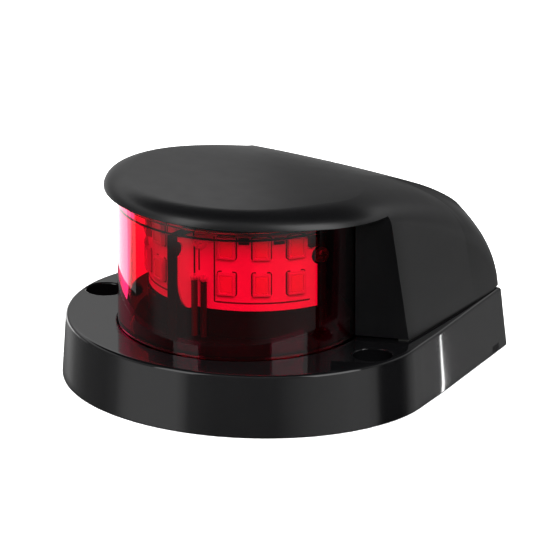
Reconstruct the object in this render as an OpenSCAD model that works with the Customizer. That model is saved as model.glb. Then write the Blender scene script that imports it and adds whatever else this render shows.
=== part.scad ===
// Bow side light: black visored cover over a red cylindrical lens on a black base.
// Front (lens) faces -Y, port is +X, Z is up. Origin at the middle of the underside.

/* [Base] */
// Width over the base foot
base_w = 74.9; // [60:0.1:90]
// Height of the base rim
base_h = 12.2; // [8:0.1:18]
// Depth of the front ellipse over its width
base_ratio = 0.9225; // [0.8:0.001:1]
// Draft of the skirt, shown as the difference in half-width from foot to rim
base_draft = 0.74; // [0:0.01:2]
// Angle that each straight side closes towards the rear
side_angle = 11.135; // [5:0.005:20]
// Rear face of the rim from the origin
rear_y = 37.5; // [30:0.1:45]
// Skirt wall thickness
skirt_wall = 4.6; // [3:0.1:6]
// Deck thickness
deck_t = 2.4; // [1.6:0.1:4]

/* [Mounting holes] */
// Distance between the two mounting holes
mount_spacing = 63.6; // [50:0.1:75]
// Mounting holes from the origin along Y
mount_y = -9.2; // [-14:0.1:-4]
// Mounting hole diameter
mount_d = 4.4; // [3.5:0.1:5.5]
// Screw head recess diameter
mount_head_d = 7.4; // [6:0.1:9]
// Depth of the screw head recess
mount_head_h = 4.6; // [2:0.1:7]

/* [Lens] */
// Outer radius of the lens
lens_r = 23.8; // [20:0.1:26]
// Lens wall thickness
lens_t = 2.2; // [1.5:0.1:3]
// Lens axis from the origin along Y
lens_y = -7.67; // [-12:0.01:-4]
// Lens ends at this angle each side of dead ahead
lens_half_arc = 113; // [105:0.5:118]
// Bottom of the lens
lens_z0 = 11.7; // [10:0.1:13]
// Top of the lens
lens_z1 = 38.9; // [36:0.1:40]

/* [Cover] */
// Height of the top
cover_top = 41.7; // [38:0.1:46]
// Half-width of the visor
visor_half_w = 31.54; // [28:0.01:34]
// Front of the visor from the origin
visor_front = -33.2; // [-36:0.1:-31]
// Height of the visor's lower edge above the origin
visor_z = 37; // [35:0.1:39]
// Rise of the visor's lower edge towards the front, per mm
visor_rise = 0.05; // [0:0.005:0.1]
// Wall thickness of the cover
cover_wall = 2.2; // [1.5:0.1:3]
// Inward lean of the side walls, per mm of height
side_lean = 0.144; // [0.05:0.001:0.25]
// Angle abaft the beam where the visible sector ends
cutoff_angle = 22.5; // [20:0.5:25]
// Front foot of the cover from the origin along Y
cheek_y = 0.8; // [-3:0.1:4]

/* [Light engine] */
// Outer radius of the curved light boards
board_r = 20.4; // [18:0.1:21]
// Centre of the board curve along Y
board_y = -3.73; // [-8:0.01:0]
// Bottom of the boards
board_z0 = 20; // [16:0.1:21.5]
// Top of the boards
board_z1 = 35; // [33:0.1:36.5]
// Angle from dead ahead to the middle light column
led_mid = 40; // [35:0.5:48]
// Angle between light columns
led_pitch = 18; // [15:0.5:22]
// Height of the upper light row
led_hi = 32.6; // [30:0.1:32.7]
// Height of the lower light row
led_lo = 25.4; // [22.5:0.1:27]

/* [Hidden] */
$fn = 96;
e = 0.02;
BN = 144;            // steps round the base outline
CA = concat([for (a = [0 : 2.5 : 179]) a], [for (a = [180 : 5 : 359]) a]);   // directions of the cover's columns, closer at the rear corners
a0 = base_w / 2;     // foot half-width
cy0 = -4.54;         // centre of the base ellipse
gz = base_h + 0.5;   // underside of the cover, above its gasket
cover_c = 3.6;       // centre that the cover's outline is drawn from
screw_at = [[28.2, 9.5], [19, 27], [-19, 27], [-28.2, 9.5]];
carrier_at = [[8, 2.5], [-8, 2.5]];
outlet = [0, 1];
side_k = (a0 - base_draft) * 0.9974;   // straight side's distance from the ellipse centre

function clamp(v, a, b) = min(max(v, a), b);
function ray_ellipse(u, v, yc, ye, a, b) =
  let (A = pow(u / a, 2) + pow(v / b, 2), B = 2 * (yc - ye) * v / (b * b), C = pow((yc - ye) / b, 2) - 1)
  (-B + sqrt(max(B * B - 4 * A * C, 0))) / (2 * A);
function pmin(a, b, p) = pow(pow(a, -p) + pow(b, -p), -1 / p);

// Base outline: front ellipse, straight closing sides, straight rear. g is the growth from the rim outline.
function base_r(t, g) =
  let (u = cos(t), v = sin(t),
    re2 = ray_ellipse(u, v, 0, cy0, a0 - base_draft + g, (a0 - base_draft) * base_ratio + g),
    side = (side_k + g + cy0 * sin(side_angle)) / max(abs(u) * cos(side_angle) + v * sin(side_angle), 0.001) * (v < 0.02 ? 1 : 1 - 0.0065 * (1 - smooth((v - 0.02) / 0.25))),
    rear = v > 0.01 ? (rear_y + g * 2.1) / v : 500,
    front = v < 0.02 ? re2 : 500)
  pmin(pmin(front, side, 110), rear, 160);
function base_ring(g, z) = [for (i = [0 : BN - 1]) let (t = 360 * i / BN, r = base_r(t, g)) [r * cos(t), r * sin(t), z]];
function flat(p) = [for (q = p) [q[0], q[1]]];

// Closed solid through a list of rings of equal length, bottom ring first. The two sides mirror each other.
module loft(rings, tip = false) {
  n = len(rings[0]);
  m = len(rings);
  polyhedron(points = concat([for (r = rings) each r], tip ? [[0, cover_c, max([for (p = rings[m - 1]) p[2]])]] : []),
    faces = concat([[for (i = [0 : n - 1]) i]],
      tip ? [for (i = [0 : n - 1]) [(m - 1) * n + i, m * n, (m - 1) * n + (i + 1) % n]] : [[for (i = [n - 1 : -1 : 0]) (m - 1) * n + i]],
      [for (k = [0 : m - 2]) for (i = [0 : n - 1]) let (j = (i + 1) % n) each
        (rings[k][i][0] + rings[k][j][0] > 0 ?
          [[k * n + i, (k + 1) * n + i, (k + 1) * n + j], [k * n + i, (k + 1) * n + j, k * n + j]] :
          [[k * n + i, (k + 1) * n + i, k * n + j], [k * n + j, (k + 1) * n + i, (k + 1) * n + j]])]), convexity = 6);
}

// Cover surface
visor_c = visor_front + 37.7;
lean_c = side_lean;
function cover_r(t) =
  let (u = cos(t), v = sin(t),
    re = v > 0.02 ? (visor_half_w + lean_c * 25) / max(abs(u), 0.001)
      : ray_ellipse(u, v, cover_c, visor_c, visor_half_w, 37.7) + lean_c * 25,
    side = (34.0 - 0.1332 * cover_c) / max(abs(u) + 0.1332 * v, 0.001),
    rear = v > 0.01 ? (rear_y - 0.1 - cover_c) / v : 500)
  pmin(pmin(re, side, 22.8), rear, 50);
function ridge(y) =
  let (q = clamp((y + 20.27) / 58.16, 0, 0.9999)) base_h + (cover_top - base_h) * pow(1 - pow(q, 2.624), 1 / 2.624);
function top_z(x, y) = ridge(y) - 1.161 * pow(abs(x) / 30.6, 8.311) - 0.925 * pow(x / 30.6, 2);
function lean_at(v) = let (s = clamp((v - 0.6) / 0.4, 0, 1)) lean_c * (1 - s) + 0.05 * s;
function inset(t, r0, d, k) = k == 0 ? d :
  let (r = r0 - d) inset(t, r0, 0.5 * d + 0.5 * lean_at(sin(t)) * max(top_z(r * cos(t), cover_c + r * sin(t)) - base_h, 0.2), k - 1);
function smooth(v) = let (s = clamp(v, 0, 1)) s * s * (3 - 2 * s);
// One column of [radius, height] from the foot to the middle of the top
function column(t) =
  let (v = sin(t), r0 = cover_r(t), L = lean_at(v), d = inset(t, r0, 0, 12),
    rc = r0 - d, yc = cover_c + rc * v, zc = top_z(rc * cos(t), yc),
    f = smooth((yc + 11.18) / 38.74), nose = smooth((-yc - 14) / 16),
    g = clamp((zc - base_h) / 20, 0, 1),
    tr = (5 * (1 - f) + 15.1 * f - 1.4 * nose) * g + 0.3,
    tw = min(2.86 * (1 - f) + 9.18 * f, 0.85 * (zc - base_h)),
    wr = r0 - L * (zc - tw - base_h), wz = zc - tw,
    er = rc - tr, ez = top_z(er * cos(t), cover_c + er * v))
  concat(
    [for (q = [0, 0.5]) let (z = gz + (wz - gz) * q) [r0 - L * (z - base_h), z]],
    [for (q = [0 : 1 / 6 : 1.001]) [(1 - q) * (1 - q) * wr + 2 * q * (1 - q) * rc + q * q * er, (1 - q) * (1 - q) * wz + 2 * q * (1 - q) * zc + q * q * ez]],
    [for (q = [0.12, 0.28, 0.48, 0.7, 0.88]) let (r = er * (1 - q)) [r, top_z(r * cos(t), cover_c + r * v)]]);
function cover_rings(t, step) =
  let (as = [for (i = [0 : step : len(CA) - 1]) CA[i]], c = [for (a = as) column(a)])
  [for (k = [0 : len(c[0]) - 1]) [for (i = [0 : len(as) - 1]) let (a = as[i], r = c[i][k][0] - t * min(1, c[i][k][0] / 12)) [r * cos(a), cover_c + r * sin(a), c[i][k][1] - t]]];
function foot(d) = [for (a = CA) let (r = cover_r(a) - lean_at(sin(a)) * 0.5 - d) [r * cos(a), cover_c + r * sin(a)]];

module at_lens() { translate([0, lens_y, 0]) children(); }
module tube(r1, r2, z0, z1) { translate([0, 0, z0]) difference() { cylinder(r = r2, h = z1 - z0); translate([0, 0, -1]) cylinder(r = r1, h = z1 - z0 + 2); } }
// Arc of an upright tube, half angle each side of dead ahead, or between two angles towards port
module arc(r1, r2, z0, z1, h1, h2) { translate([0, 0, z0]) rotate([0, 0, h1 - 90]) rotate_extrude(angle = h2 - h1) translate([r1, 0]) square([r2 - r1, z1 - z0]); }
// Places a child on the face of a light board: -Y is outwards
module on_board(side, ang, z) { translate([0, board_y, z]) rotate([0, 0, side * ang]) translate([0, -board_r, 0]) children(); }
// Plan of the space in front of the two cut-off faces, grown by d
module sector(d) {
  s = sin(cutoff_angle); c = cos(cutoff_angle);
  y0 = cheek_y - 34 * s / c;
  polygon([[0, y0 + d / c], [80 * c - d * s, y0 + 80 * s + d * c], [90, -90], [-90, -90], [-80 * c + d * s, y0 + 80 * s + d * c]]);
}
module below_visor(d) { translate([-100, -100, -10]) difference() { cube([200, 200, 10 + 100]); translate([-1, 0, 0]) translate([0, 100, 10 + visor_z + d]) rotate([-atan(visor_rise), 0, 0]) translate([0, -150, 0]) cube([202, 300, 120]); } }

module base_housing() {
  color([0.03, 0.03, 0.03]) difference() {
    union() {
      difference() {
        loft([base_ring(base_draft, 0), base_ring(0.02, base_h - 0.45), base_ring(-0.14, base_h - 0.13), base_ring(-0.5, base_h)]);
        // underside hollow
        translate([0, 0, -1]) linear_extrude(base_h - deck_t + 1) polygon(flat(base_ring(-skirt_wall + 0.5, 0)));
      }
      // pan under the light engine
      at_lens() translate([0, 0, 8.4]) cylinder(r = 25.6, h = 3);
      // mounting screw sleeves
      for (s = [-1, 1]) translate([s * mount_spacing / 2, mount_y, 0]) intersection() {
        cylinder(r = 5.6, h = base_h - 1);
        translate([-s * mount_spacing / 2, -mount_y, 0]) linear_extrude(base_h) polygon(flat(base_ring(-0.9, 0)));
      }
      // cover screw sleeves
      for (p = screw_at) translate([p[0], p[1], 2]) cylinder(r = 4.4, h = base_h - 3);
      for (p = carrier_at) translate([p[0], p[1], 4]) cylinder(r = 2.8, h = 6);
      // outlet well
      translate([outlet[0], outlet[1], 1]) cylinder(r = 7.4, h = 9);
      // ribs
      for (s = [-1, 1]) translate([s * 13.2 - 0.9, 5, 3]) cube([1.8, 27, 8]);
      translate([-12.6, 18.1, 3]) cube([25.2, 1.8, 8]);
      for (s = [-1, 1]) translate([s * 11.5 - 0.9, -28, 3]) cube([1.8, 20, 8]);
    }
    // lens groove
    at_lens() tube(lens_r - lens_t - 0.2, lens_r + 0.2, lens_z0 - 0.7, base_h + 4);
    // pan
    at_lens() translate([0, 0, 11]) cylinder(r = 20.9, h = 5);
    for (s = [-1, 1]) translate([s * mount_spacing / 2, mount_y, 0]) {
      translate([0, 0, -1]) cylinder(d = mount_d, h = 20);
      translate([0, 0, base_h - mount_head_h]) cylinder(d = mount_head_d, h = 10);
    }
    for (p = screw_at) translate([p[0], p[1], 0]) {
      translate([0, 0, -1]) cylinder(r = 1.7, h = 20);
      translate([0, 0, -1]) cylinder(r = 3.4, h = 7.5);
    }
    for (p = carrier_at) translate([p[0], p[1], 5.5]) cylinder(r = 1.1, h = 10);
    translate([outlet[0], outlet[1], 0]) {
      cylinder(r = 4.6, h = 14);
      cylinder(r = 5.9, h = 4.4);
    }
    // groove for the seal cord in the foot
    translate([0, 0, -1]) linear_extrude(2.4) difference() { polygon(flat(base_ring(-0.95, 0))); polygon(flat(base_ring(-2.75, 0))); }
  }
}

module base_seal_cord() {
  color([0.08, 0.08, 0.08]) linear_extrude(1.4) difference() { polygon(flat(base_ring(-1.0, 0))); polygon(flat(base_ring(-2.7, 0))); }
}

module cover() {
  color([0.06, 0.06, 0.06]) difference() {
    loft(cover_rings(0, 1), true);
    // space round the lens, below the visor
    intersection() {
      linear_extrude(80, center = true) sector(0);
      below_visor(0);
    }
    at_lens() cylinder(r = lens_r + 0.2, h = 35.6);
    at_lens() arc(lens_r - lens_t - 0.6, lens_r + 0.1, 33, lens_z1 + 0.4, -lens_half_arc - 1, lens_half_arc + 1);
    // hollow of the hood, outside the lens barrel
    difference() {
      loft(cover_rings(cover_wall, 2), true);
      linear_extrude(100, center = true) sector(cover_wall);
      at_lens() cylinder(r = lens_r + cover_wall + 0.2, h = 80);
      for (p = screw_at) translate([p[0], p[1], 0]) cylinder(r = 3.6, h = 60);
      for (s = [-1, 1]) translate([s * 9 - 0.8, 18, 22]) cube([1.6, 30, 40]);
      translate([-0.8, 18, 22]) cube([1.6, 30, 40]);
    }
    // hollow of the visor over the light engine
    intersection() {
      loft(cover_rings(cover_wall, 2), true);
      at_lens() cylinder(r = lens_r - lens_t - 0.2, h = 80);
    }
    for (p = screw_at) translate([p[0], p[1], 0]) cylinder(r = 1.5, h = 24);
  }
}

module cover_gasket() {
  color([0.1, 0.1, 0.1]) difference() {
    translate([0, 0, base_h]) linear_extrude(0.5) difference() {
      polygon(foot(0.35));
      polygon(foot(cover_wall - 0.1));
      sector(0.35);
    }
    for (p = screw_at) translate([p[0], p[1], 0]) cylinder(r = 1.7, h = 24);
  }
}

module lens() {
  color([0.75, 0.02, 0.05, 0.55]) difference() {
    union() {
      at_lens() arc(lens_r - lens_t, lens_r, lens_z0, lens_z1, -lens_half_arc, lens_half_arc);
      at_lens() arc(lens_r - lens_t - 0.9, lens_r - lens_t + 0.1, 35.4, 36.9, -lens_half_arc, lens_half_arc);
    }
  }
}
module lens_bottom_seal() { color([0.1, 0.1, 0.1]) at_lens() tube(lens_r - lens_t, lens_r, lens_z0 - 0.7, lens_z0); }
module lens_top_seal() { color([0.1, 0.1, 0.1]) at_lens() arc(lens_r - lens_t, lens_r, lens_z1, lens_z1 + 0.4, -lens_half_arc, lens_half_arc); }

lead_x = [1.75, 3.7];                 // positive and negative on each side of the divider
function lead_y(x) = board_y - sqrt(board_r * board_r - x * x) - 0.72;
module led_carrier() {
  color([0.04, 0.04, 0.04]) difference() {
    union() {
      at_lens() translate([0, 0, 13.4]) cylinder(r = 20.6, h = 1.2);
      at_lens() tube(19.2, 20.6, 11, 13.5);
      // drum that the boards bend round, with its foot
      translate([0, board_y, 0]) arc(board_r - 2.9, board_r - 1.05, 14.5, 36, -79, 79);
      translate([0, board_y, 0]) arc(board_r - 2.9, board_r + 0.25, 14.5, board_z0 - 0.1, -76, 76);
      // divider
      translate([-1, lens_y - lens_r + lens_t + 0.15, 14.5]) cube([2, 6.2, 20.7]);
      // rear stiffeners
      for (s = [-1, 1]) translate([s * 14 - 0.8, board_y - 13, 14.5]) cube([1.6, 14, 12]);
    }
    // trimmed to the lens
    at_lens() difference() { translate([0, 0, 14.6]) cylinder(r = 40, h = 40); translate([0, 0, 5]) cylinder(r = 21.4, h = 60); }
    for (s = [-1, 1]) for (x = lead_x) translate([s * x, lead_y(x), 5]) cylinder(r = 0.75, h = 18);
    for (p = carrier_at) translate([p[0], p[1], 5]) cylinder(r = 1.5, h = 15);
    translate([outlet[0], outlet[1], 10]) cylinder(r = 4.6, h = 10);
    for (s = [-1, 1]) for (q = [[72.5, 30.1], [7.2, 33.2]]) on_board(s, q[0], q[1]) rotate([-90, 0, 0]) translate([0, 0, -3]) cylinder(r = 0.85, h = 5);
  }
}
module divider_reflectors() {
  color([0.9, 0.9, 0.9]) for (s = [-1, 1]) translate([s * 1.2, 0, 0]) translate([-0.18, -28.7, 0]) difference() {
    translate([0, 0, board_z0 + 0.1]) cube([0.36, 4.2, 34.8 - board_z0]);
    // curved lower corner and the notch for the upper screw boss
    rotate([0, 90, 0]) translate([-(board_z0 + 0.1), 0, -1]) difference() {
      translate([-6, -1, 0]) cube([7, 4.4, 3]);
      translate([-6, 3.4, 0]) scale([6 / 3.4, 1, 1]) cylinder(r = 3.4, h = 3);
    }
    translate([-1, -0.4, 32.6]) rotate([0, 90, 0]) cylinder(r = 1.5, h = 3);
  }
}

module board(s) {
  color([0.92, 0.92, 0.9]) difference() {
    translate([0, board_y, 0]) arc(board_r - 1, board_r, board_z0, board_z1, s > 0 ? 4 : -70.5, s > 0 ? 70.5 : -4);
    for (q = [[72.5, 30.1, 1.9], [7.2, 33.2, 0.9]]) on_board(s, q[0], q[1]) rotate([-90, 0, 0]) translate([0, 0, -3]) cylinder(r = q[2], h = 6);
  }
}
module port_led_board() { board(1); }
module starboard_led_board() { board(-1); }

module each_led(s) { for (k = [-1, 0, 1]) for (z = [led_hi, led_lo]) on_board(s, led_mid + k * led_pitch, z) children(); }
module packages(s) {
  color([0.95, 0.93, 0.85]) each_led(s) difference() {
    translate([-1.7, -0.9, -2.25]) cube([3.4, 0.9, 4.5]);
    translate([-1.25, -1.2, -1.8]) cube([2.5, 0.6, 3.6]);
  }
}
module windows(s) { color([0.95, 0.75, 0.2]) each_led(s) translate([-1.25, -0.84, -1.8]) cube([2.5, 0.24, 3.6]); }
module port_led_packages() { packages(1); }
module starboard_led_packages() { packages(-1); }
module port_emitter_windows() { windows(1); }
module starboard_emitter_windows() { windows(-1); }
module resistors(s) { color([0.05, 0.05, 0.05]) for (a = [led_mid - led_pitch / 2, led_mid + led_pitch / 2]) on_board(s, a, 34.1) translate([-1, -0.5, -0.62]) cube([2, 0.5, 1.24]); }
module port_resistors() { resistors(1); }
module starboard_resistors() { resistors(-1); }
module polarity_diodes() { color([0.05, 0.05, 0.05]) for (s = [-1, 1]) on_board(s, 66.8, 33.5) translate([-0.75, -1, -1.25]) cube([1.5, 1, 2.5]); }

module board_screws() {
  color([0.1, 0.1, 0.1]) for (s = [-1, 1]) for (q = [[72.5, 30.1], [7.2, 33.2]]) on_board(s, q[0], q[1]) rotate([90, 0, 0]) {
    difference() { translate([0, 0, 0.02]) cylinder(r = 1.5, h = 0.9); for (a = [0, 90]) rotate([0, 0, a]) translate([-0.9, -0.2, 0.5]) cube([1.8, 0.4, 1]); }
    translate([0, 0, -2.6]) cylinder(r = 0.8, h = 2.7);
  }
}
module carrier_screws() {
  color([0.7, 0.7, 0.7]) for (p = carrier_at) translate([p[0], p[1], 0]) difference() {
    union() { translate([0, 0, 14.6]) cylinder(r = 2.3, h = 1.5); translate([0, 0, 6.4]) cylinder(r = 1.05, h = 8.3); }
    for (a = [0, 90]) rotate([0, 0, a]) translate([-1.5, -0.3, 15.2]) cube([3, 0.6, 2]);
  }
}

// Lead: a tube swept along a route with rounded corners
function unit(v) = v / norm(v);
function rounded(p, d) = concat([p[0]], [for (i = [1 : len(p) - 2]) let (a = p[i] - unit(p[i] - p[i - 1]) * d, b = p[i] + unit(p[i + 1] - p[i]) * d) each
  [for (q = [0, 0.25, 0.5, 0.75, 1]) (1 - q) * (1 - q) * a + 2 * q * (1 - q) * p[i] + q * q * b]], [p[len(p) - 1]]);
module wire(p, r) {
  n = len(p);
  loft([for (i = [0 : n - 1]) let (t = unit(p[min(i + 1, n - 1)] - p[max(i - 1, 0)]), u = unit(cross(t, [1, 0, 0])), w = cross(u, t))
    [for (k = [0 : 7]) p[i] + r * (cos(45 * k) * w + sin(45 * k) * u)]]);
}
module leads(k, off) {
  for (s = [-1, 1]) let (x = s * lead_x[k], y = lead_y(lead_x[k])) wire(rounded([[x, y, 25.4], [x, y, 12.3], [s * off, outlet[1] + (k == 0 ? 0.9 : -0.9), 12.3], [s * off, outlet[1] + (k == 0 ? 0.9 : -0.9), 10]], 1.1), 0.6);
}
module positive_leads() { color([0.08, 0.05, 0.05]) leads(0, 0.8); }
module negative_leads() { color([0.05, 0.05, 0.05]) leads(1, 2.4); }
module solder_joints() { color([0.8, 0.8, 0.82]) for (s = [-1, 1]) for (x = lead_x) translate([s * x, lead_y(x) - 0.1, 26.14]) sphere(r = 0.74, $fn = 32); }
module potting_plug() { color([0.07, 0.07, 0.07]) translate([outlet[0], outlet[1], 4.4]) cylinder(r = 4.58, h = 5.6); }
module wire_grommet() { color([0.06, 0.06, 0.06]) translate([outlet[0], outlet[1], 0]) difference() { translate([0, 0, 0.6]) cylinder(r = 5.88, h = 3.8); translate([0, 0, -1]) cylinder(r = 2.6, h = 10); } }
module cover_screws() {
  color([0.75, 0.75, 0.75]) for (p = screw_at) translate([p[0], p[1], 0]) difference() {
    union() { translate([0, 0, 4.1]) cylinder(r = 3, h = 2.4); translate([0, 0, 6.4]) cylinder(r = 1.45, h = 16); }
    for (a = [0, 90]) rotate([0, 0, a]) translate([-2, -0.4, 3]) cube([4, 0.8, 2.5]);
  }
}

base_housing();
base_seal_cord();
cover();
cover_gasket();
lens();
lens_bottom_seal();
lens_top_seal();
led_carrier();
divider_reflectors();
port_led_board();
starboard_led_board();
port_led_packages();
starboard_led_packages();
port_emitter_windows();
starboard_emitter_windows();
port_resistors();
starboard_resistors();
polarity_diodes();
board_screws();
carrier_screws();
positive_leads();
negative_leads();
solder_joints();
potting_plug();
wire_grommet();
cover_screws();
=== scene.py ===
"""Bow side light: fine meshes, materials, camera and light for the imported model. Lengths below are mm until scaled."""

import math

import bmesh
import bpy
import numpy as np
from mathutils import Matrix, Vector


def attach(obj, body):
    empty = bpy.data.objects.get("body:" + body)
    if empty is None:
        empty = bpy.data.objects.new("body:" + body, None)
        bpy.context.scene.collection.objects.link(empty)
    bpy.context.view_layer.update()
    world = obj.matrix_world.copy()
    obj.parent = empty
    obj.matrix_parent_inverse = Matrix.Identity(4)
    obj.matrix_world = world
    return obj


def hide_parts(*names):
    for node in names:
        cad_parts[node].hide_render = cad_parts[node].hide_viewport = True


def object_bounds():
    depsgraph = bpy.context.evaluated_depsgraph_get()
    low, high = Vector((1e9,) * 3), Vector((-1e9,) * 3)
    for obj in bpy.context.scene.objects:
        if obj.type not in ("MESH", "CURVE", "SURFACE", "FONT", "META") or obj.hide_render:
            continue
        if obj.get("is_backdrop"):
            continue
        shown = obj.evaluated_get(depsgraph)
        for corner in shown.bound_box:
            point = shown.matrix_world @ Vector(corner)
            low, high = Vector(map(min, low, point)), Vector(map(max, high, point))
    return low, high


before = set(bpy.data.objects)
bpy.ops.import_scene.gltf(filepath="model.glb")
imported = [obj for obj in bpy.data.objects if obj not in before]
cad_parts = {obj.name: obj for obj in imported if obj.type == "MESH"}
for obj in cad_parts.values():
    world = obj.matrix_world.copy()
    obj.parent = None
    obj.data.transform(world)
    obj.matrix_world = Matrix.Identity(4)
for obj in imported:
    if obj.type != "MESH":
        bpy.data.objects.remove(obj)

cad_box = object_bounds()
scene = bpy.context.scene
MM = 0.001

# ------------------------------------------------------------------ the same dimensions as the part
BASE_H = 12.2
A0 = 37.45
DRAFT = 0.74
RATIO = 0.9225
CY0 = -4.54
BETA = math.radians(11.135)
REAR_Y = 37.5
SIDE_K = (A0 - DRAFT) * 0.9974
LENS_Y = -7.67
LENS_R = 23.8
LENS_T = 2.2
LENS_Z0, LENS_Z1 = 11.7, 38.9
LENS_ARC = 113
MOUNT = (31.8, -9.2)
SCREWS = [(28.2, 9.5), (19, 27), (-19, 27), (-28.2, 9.5)]
CARRIER = [(8, 2.5), (-8, 2.5)]
OUTLET = (0, 1)
BOARD_R, BOARD_Y = 20.4, -3.73
BZ0, BZ1 = 20.0, 35.0
LED_MID, LED_PITCH, LED_HI, LED_LO = 40, 18, 32.6, 25.4
COVER_C = 3.6
COVER_WALL = 2.2
TOP = 41.7
CHEEK_Y = 0.8
CUT = math.radians(22.5)
Y0 = CHEEK_Y - 34 * math.tan(CUT)
LEAN = 0.144


def ray_ellipse(u, v, yc, ye, a, b):
    A = (u / a) ** 2 + (v / b) ** 2
    B = 2 * (yc - ye) * v / (b * b)
    C = ((yc - ye) / b) ** 2 - 1
    return (-B + math.sqrt(max(B * B - 4 * A * C, 0))) / (2 * A)


def pmin(a, b, p):
    return (a**-p + b**-p) ** (-1 / p)


def clamp(v, a, b):
    return min(max(v, a), b)


def smooth(v):
    s = clamp(v, 0, 1)
    return s * s * (3 - 2 * s)


def base_r(t, g):
    u, v = math.cos(t), math.sin(t)
    front = ray_ellipse(u, v, 0, CY0, A0 - DRAFT + g, (A0 - DRAFT) * RATIO + g) if v < 0.02 else 500
    side = (SIDE_K + g + CY0 * math.sin(BETA)) / max(abs(u) * math.cos(BETA) + v * math.sin(BETA), 0.001)
    if v >= 0.02:
        side *= 1 - 0.0065 * (1 - smooth((v - 0.02) / 0.25))
    rear = (REAR_Y + g * 2.1) / v if v > 0.01 else 500
    return pmin(pmin(front, side, 110), rear, 160)


def symmetric(half):
    """Angles round the whole outline from those between -90 and 90 degrees, mirrored across X = 0."""
    rest = [180 - a for a in reversed(half) if -90 < a < 90]
    return [math.radians(a) for a in half + rest]


BASE_T = symmetric(sorted(set([round(-90 + k * 1.0, 3) for k in range(181)] + [round(46 + k * 0.25, 3) for k in range(45)])))


def base_ring(g, z):
    return [(base_r(t, g) * math.cos(t), base_r(t, g) * math.sin(t), z) for t in BASE_T]


# ------------------------------------------------------------------ the cover's surface
VISOR_C = -33.2 + 37.7


def cover_r(t):
    u, v = math.cos(t), math.sin(t)
    if v > 0.02:
        re = (31.54 + LEAN * 25) / max(abs(u), 0.001)
    else:
        re = ray_ellipse(u, v, COVER_C, VISOR_C, 31.54, 37.7) + LEAN * 25
    side = (34.0 - 0.1332 * COVER_C) / max(abs(u) + 0.1332 * v, 0.001)
    rear = (REAR_Y - 0.1 - COVER_C) / v if v > 0.01 else 500
    return pmin(pmin(re, side, 22.8), rear, 50)


def ridge(y):
    q = clamp((y + 20.27) / 58.16, 0, 0.9999)
    return BASE_H + (TOP - BASE_H) * (1 - q**2.624) ** (1 / 2.624)


def top_z(x, y):
    return ridge(y) - 1.161 * (abs(x) / 30.6) ** 8.311 - 0.925 * (x / 30.6) ** 2


def lean_at(v):
    s = clamp((v - 0.6) / 0.4, 0, 1)
    return LEAN * (1 - s) + 0.05 * s


def visor_plane(y):
    return 37 - 0.05 * y


def column(t, drop=0.0, inner=0.0):
    """[radius, height] from the foot to the middle of the top, finer than the part's and with the same outline."""
    u, v = math.cos(t), math.sin(t)
    r0, L = cover_r(t), lean_at(v)
    d = 0.0
    for _ in range(16):
        r = r0 - d
        d = 0.5 * d + 0.5 * L * max(top_z(r * u, COVER_C + r * v) - BASE_H, 0.2)
    rc = r0 - d
    yc = COVER_C + rc * v
    zc = top_z(rc * u, yc)
    f = smooth((yc + 11.18) / 38.74)
    nose = smooth((-yc - 14) / 16)
    g = clamp((zc - BASE_H) / 20, 0, 1)
    tr = (5 * (1 - f) + 15.1 * f - 1.4 * nose) * g + 0.3
    tw = min(2.86 * (1 - f) + 9.18 * f, 0.85 * (zc - BASE_H))
    wr, wz = r0 - L * (zc - tw - BASE_H), zc - tw
    er = rc - tr
    ez = top_z(er * u, COVER_C + er * v)
    gz = BASE_H + 0.5
    # the turn from wall to top: close to the part's curve, tighter where the visor meets its flat top
    a = 0.667 + 0.16 * (1 - f)
    b = 0.667 - 0.46 * (1 - f)
    p0, c, p3 = np.array([wr, wz]), np.array([rc, zc]), np.array([er, ez])
    p1, p2 = p0 + a * (c - p0), p3 + b * (c - p3)
    out = []
    for q in np.linspace(0, 1, 9)[:-1]:
        z = gz + (wz - gz) * q
        out.append((r0 - L * (z - BASE_H), z))
    for q in np.linspace(0, 1, 19):
        p = (1 - q) ** 3 * p0 + 3 * q * (1 - q) ** 2 * p1 + 3 * q * q * (1 - q) * p2 + q**3 * p3
        out.append((p[0], p[1]))
    for q in [0.04, 0.09, 0.15, 0.22, 0.3, 0.39, 0.49, 0.59, 0.69, 0.79, 0.88, 0.95]:
        r = er * (1 - q)
        out.append((r, top_z(r * u, COVER_C + r * v)))
    if inner:
        out = [(r - inner * min(1, r / 12), z - inner) for r, z in out]
    return [(r * u, COVER_C + r * v, z) for r, z in out]


def cover_angles(step, fine):
    half = [-90 + k * step for k in range(int(round(180 / step)) + 1)]
    half += [36 + k * fine for k in range(int(round(26 / fine)) + 1)]
    return symmetric(sorted(set(round(a, 3) for a in half)))


# ------------------------------------------------------------------ mesh tools
def obj_from(name, verts, faces):
    me = bpy.data.meshes.new(name)
    me.from_pydata([tuple(map(float, p)) for p in verts], [], faces)
    me.validate()
    me.update()
    bm = bmesh.new()
    bm.from_mesh(me)
    bmesh.ops.recalc_face_normals(bm, faces=bm.faces)
    bm.to_mesh(me)
    bm.free()
    o = bpy.data.objects.new(name, me)
    scene.collection.objects.link(o)
    return o


def loft(name, rings, tip=None):
    """Closed solid through rings of equal length, bottom first; the last closes on tip or with a flat cap."""
    n, m = len(rings[0]), len(rings)
    verts = [p for r in rings for p in r]
    faces = [list(range(n))]
    for k in range(m - 1):
        for i in range(n):
            j = (i + 1) % n
            faces.append([k * n + i, k * n + j, (k + 1) * n + j, (k + 1) * n + i])
    if tip is None:
        faces.append([(m - 1) * n + i for i in reversed(range(n))])
    else:
        verts.append(tip)
        faces += [[(m - 1) * n + i, (m - 1) * n + (i + 1) % n, m * n] for i in range(n)]
    return obj_from(name, verts, faces)


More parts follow.
